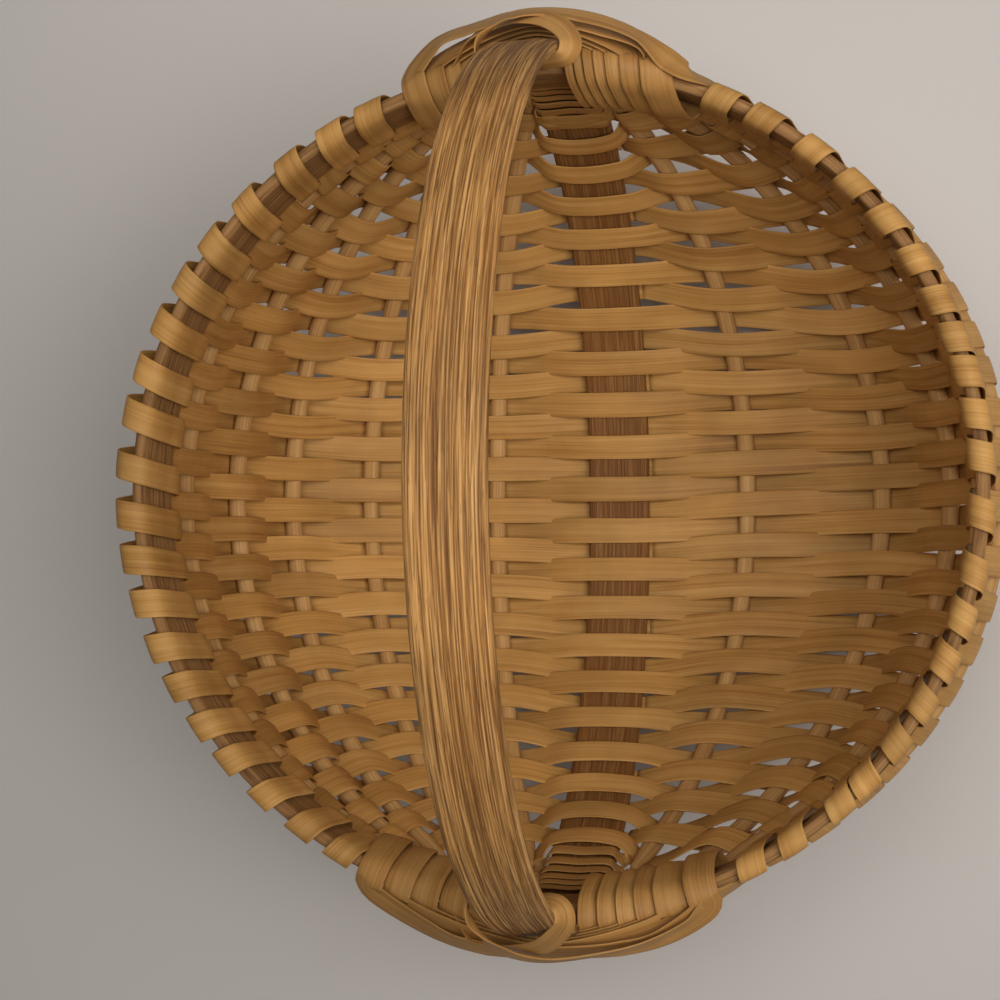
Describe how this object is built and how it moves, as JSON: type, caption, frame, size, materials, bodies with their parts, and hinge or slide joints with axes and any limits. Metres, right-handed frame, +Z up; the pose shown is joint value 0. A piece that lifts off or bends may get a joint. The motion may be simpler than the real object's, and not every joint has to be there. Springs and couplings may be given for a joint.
{
  "type": "egg basket",
  "caption": "Round-bellied splint basket on two crossed hoops: a tall one that is handle and keel, a level one for the rim, with round ribs, flat weavers and lashed ears.",
  "frame": {"origin": "on the surface that the basket stands on, under the middle of its bounding box", "axes": "+Z up towards the top of the handle, +Y from ear to ear along the handle towards the back ear, +X across the handle to the right"},
  "size_m": [0.3128, 0.3114, 0.3061],
  "materials": {
    "handle_oak": "split oak strip with coarse open grain, unfinished, golden brown",
    "rim_oak": "darker split oak strip, unfinished, matt",
    "rib_reed": "round reed, smooth, matt",
    "weaver_splint": "flat splint with fine lengthwise grain, slight sheen, golden tan",
    "lashing_splint": "flat splint, slight sheen, a little darker than the weavers"
  },
  "bodies": {
    "root": {"handle_hoop": "handle_oak", "rim_hoop": "rim_oak", "rib_left_1": "rib_reed", "rib_left_2": "rib_reed", "rib_left_3": "rib_reed", "rib_left_4": "rib_reed", "rib_left_5": "rib_reed", "rib_right_1": "rib_reed", "rib_right_2": "rib_reed", "rib_right_3": "rib_reed", "rib_right_4": "rib_reed", "rib_right_5": "rib_reed", "weaver_01": "weaver_splint", "weaver_02": "weaver_splint", "weaver_03": "weaver_splint", "weaver_04": "weaver_splint", "weaver_05": "weaver_splint", "weaver_06": "weaver_splint", "weaver_07": "weaver_splint", "weaver_08": "weaver_splint", "weaver_09": "weaver_splint", "weaver_10": "weaver_splint", "weaver_11": "weaver_splint", "ear_wrap_back": "lashing_splint", "ear_wrap_front": "lashing_splint", "ear_strap_back_left": "lashing_splint", "ear_strap_back_right": "lashing_splint", "ear_strap_front_left": "lashing_splint", "ear_strap_front_right": "lashing_splint"}
  },
  "joints": []
}
